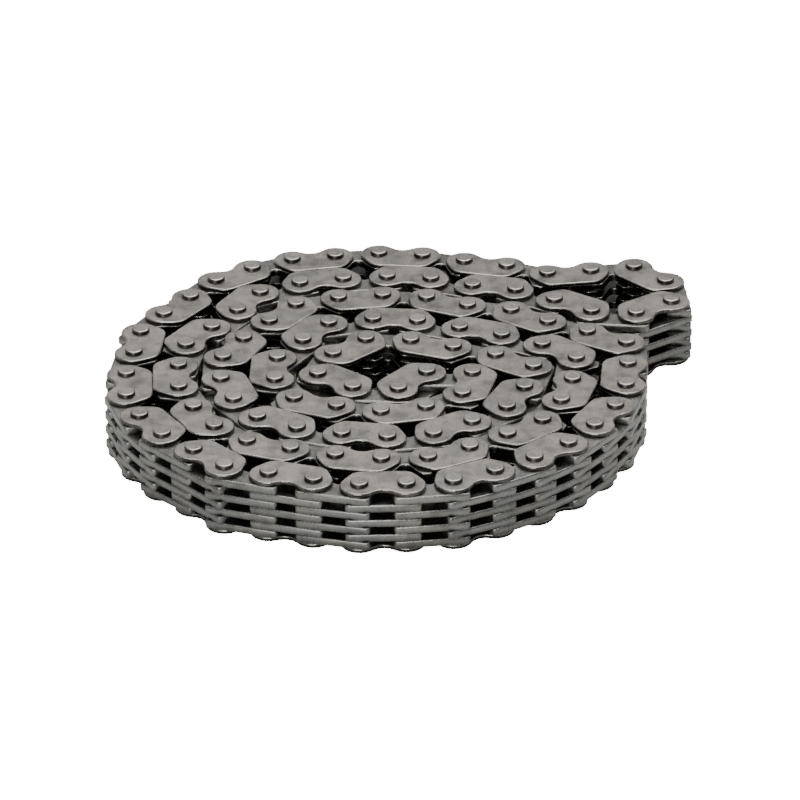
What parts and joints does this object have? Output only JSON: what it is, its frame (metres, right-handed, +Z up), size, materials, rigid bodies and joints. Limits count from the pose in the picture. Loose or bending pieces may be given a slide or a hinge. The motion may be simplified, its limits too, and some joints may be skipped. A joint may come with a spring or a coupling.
{
  "type": "inverted-tooth timing chain",
  "caption": "Endless silent timing chain of toothed steel plates and round pins, folded double and wound into a flat coil.",
  "frame": {"origin": "centre of the coil's box in plan, on the surface that the pin ends lie on", "axes": "+Z up along the pins, +X along the coil's longer side, towards the free end of the fold, +Y across it"},
  "size_m": [0.083, 0.0752, 0.0104],
  "materials": {
    "guide_steel": "tumbled spring steel, oiled, thin and rounded at the edges",
    "plate_steel": "blanked and heat-treated steel, oiled, darker on its sawn-looking edges",
    "pin_steel": "hardened ground pin with a rounded end"
  },
  "bodies": {
    "coil": {"heart_run_inner_plates": "plate_steel", "heart_run_lower_guide_plates": "guide_steel", "heart_run_middle_plates": "plate_steel", "heart_run_pins": "pin_steel", "heart_run_upper_guide_plates": "guide_steel", "outer_run_inner_plates": "plate_steel", "outer_run_lower_guide_plates": "guide_steel", "outer_run_middle_plates": "plate_steel", "outer_run_pins": "pin_steel", "outer_run_upper_guide_plates": "guide_steel", "return_run_inner_plates": "plate_steel", "return_run_lower_guide_plates": "guide_steel", "return_run_middle_plates": "plate_steel", "return_run_pins": "pin_steel", "return_run_upper_guide_plates": "guide_steel"},
    "pin_link_00": {"guide_plates_00": "guide_steel", "middle_plates_00": "plate_steel", "pins_00": "pin_steel"},
    "inner_link_01": {"inner_plates_01": "plate_steel"},
    "pin_link_02": {"guide_plates_02": "guide_steel", "middle_plates_02": "plate_steel", "pins_02": "pin_steel"},
    "inner_link_03": {"inner_plates_03": "plate_steel"},
    "pin_link_04": {"guide_plates_04": "guide_steel", "middle_plates_04": "plate_steel", "pins_04": "pin_steel"},
    "inner_link_05": {"inner_plates_05": "plate_steel"},
    "pin_link_06": {"guide_plates_06": "guide_steel", "middle_plates_06": "plate_steel", "pins_06": "pin_steel"},
    "inner_link_07": {"inner_plates_07": "plate_steel"},
    "pin_link_08": {"guide_plates_08": "guide_steel", "middle_plates_08": "plate_steel", "pins_08": "pin_steel"},
    "inner_link_09": {"inner_plates_09": "plate_steel"},
    "pin_link_10": {"guide_plates_10": "guide_steel", "middle_plates_10": "plate_steel", "pins_10": "pin_steel"},
    "inner_link_11": {"inner_plates_11": "plate_steel"},
    "pin_link_12": {"guide_plates_12": "guide_steel", "middle_plates_12": "plate_steel", "pins_12": "pin_steel"},
    "inner_link_13": {"inner_plates_13": "plate_steel"},
    "pin_link_14": {"guide_plates_14": "guide_steel", "middle_plates_14": "plate_steel", "pins_14": "pin_steel"},
    "inner_link_15": {"inner_plates_15": "plate_steel"},
    "pin_link_16": {"guide_plates_16": "guide_steel", "middle_plates_16": "plate_steel", "pins_16": "pin_steel"},
    "inner_link_17": {"inner_plates_17": "plate_steel"},
    "pin_link_18": {"guide_plates_18": "guide_steel", "middle_plates_18": "plate_steel", "pins_18": "pin_steel"},
    "inner_link_19": {"inner_plates_19": "plate_steel"}
  },
  "joints": [
    {"name": "pivot_01", "type": "hinge", "parent": "inner_link_01", "child": "pin_link_00", "pos_m": [0.03355, 0.02997, 0.00518], "axis": [0, 0, 1], "range_deg": [0, 64]},
    {"name": "pivot_02", "type": "hinge", "parent": "pin_link_02", "child": "inner_link_01", "pos_m": [0.0273, 0.02889, 0.00518], "axis": [0, 0, 1], "range_deg": [0, 8]},
    {"name": "pivot_03", "type": "hinge", "parent": "inner_link_03", "child": "pin_link_02", "pos_m": [0.021, 0.02804, 0.00518], "axis": [0, 0, 1], "range_deg": [0, 8]},
    {"name": "pivot_04", "type": "hinge", "parent": "pin_link_04", "child": "inner_link_03", "pos_m": [0.01519, 0.03059, 0.00518], "axis": [0, 0, 1], "range_deg": [0, 17]},
    {"name": "pivot_05", "type": "hinge", "parent": "inner_link_05", "child": "pin_link_04", "pos_m": [0.00904, 0.03217, 0.00518], "axis": [0, 0, 1], "range_deg": [0, 8]},
    {"name": "pivot_06", "type": "hinge", "parent": "pin_link_06", "child": "inner_link_05", "pos_m": [0.00297, 0.03404, 0.00518], "axis": [0, 0, 1], "range_deg": [0, 19]},
    {"name": "pivot_07", "type": "hinge", "parent": "inner_link_07", "child": "pin_link_06", "pos_m": [-0.00334, 0.03472, 0.00518], "axis": [0, 0, 1], "range_deg": [0, 20]},
    {"name": "pivot_08", "type": "hinge", "parent": "pin_link_08", "child": "inner_link_07", "pos_m": [-0.00966, 0.03403, 0.00518], "axis": [0, 0, 1], "range_deg": [0, 11]},
    {"name": "pivot_09", "type": "hinge", "parent": "inner_link_09", "child": "pin_link_08", "pos_m": [-0.01591, 0.03292, 0.00518], "axis": [0, 0, 1], "range_deg": [0, 22]},
    {"name": "pivot_10", "type": "hinge", "parent": "pin_link_10", "child": "inner_link_09", "pos_m": [-0.02167, 0.03024, 0.00518], "axis": [0, 0, 1], "range_deg": [0, 19]},
    {"name": "pivot_11", "type": "hinge", "parent": "inner_link_11", "child": "pin_link_10", "pos_m": [-0.02679, 0.02649, 0.00518], "axis": [0, 0, 1], "range_deg": [0, 28]},
    {"name": "pivot_12", "type": "hinge", "parent": "pin_link_12", "child": "inner_link_11", "pos_m": [-0.03032, 0.02121, 0.00518], "axis": [0, 0, 1], "range_deg": [0, 8]},
    {"name": "pivot_13", "type": "hinge", "parent": "inner_link_13", "child": "pin_link_12", "pos_m": [-0.03394, 0.016, 0.00518], "axis": [0, 0, 1], "range_deg": [0, 13]},
    {"name": "pivot_14", "type": "hinge", "parent": "pin_link_14", "child": "inner_link_13", "pos_m": [-0.03702, 0.01044, 0.00518], "axis": [0, 0, 1], "range_deg": [0, 30]},
    {"name": "pivot_15", "type": "hinge", "parent": "inner_link_15", "child": "pin_link_14", "pos_m": [-0.03773, 0.00413, 0.00518], "axis": [0, 0, 1], "range_deg": [0, 8]},
    {"name": "pivot_16", "type": "hinge", "parent": "pin_link_16", "child": "inner_link_15", "pos_m": [-0.03854, -0.00216, 0.00518], "axis": [0, 0, 1], "range_deg": [0, 17]},
    {"name": "pivot_17", "type": "hinge", "parent": "inner_link_17", "child": "pin_link_16", "pos_m": [-0.03828, -0.00851, 0.00518], "axis": [0, 0, 1], "range_deg": [0, 24]},
    {"name": "pivot_18", "type": "hinge", "parent": "pin_link_18", "child": "inner_link_17", "pos_m": [-0.03623, -0.01452, 0.00518], "axis": [0, 0, 1], "range_deg": [0, 20]},
    {"name": "pivot_19", "type": "hinge", "parent": "inner_link_19", "child": "pin_link_18", "pos_m": [-0.03294, -0.01995, 0.00518], "axis": [0, 0, 1], "range_deg": [0, 21]},
    {"name": "pivot_20", "type": "hinge", "parent": "coil", "child": "inner_link_19", "pos_m": [-0.02848, -0.02447, 0.00518], "axis": [0, 0, 1], "range_deg": [0, 8]}
  ]
}
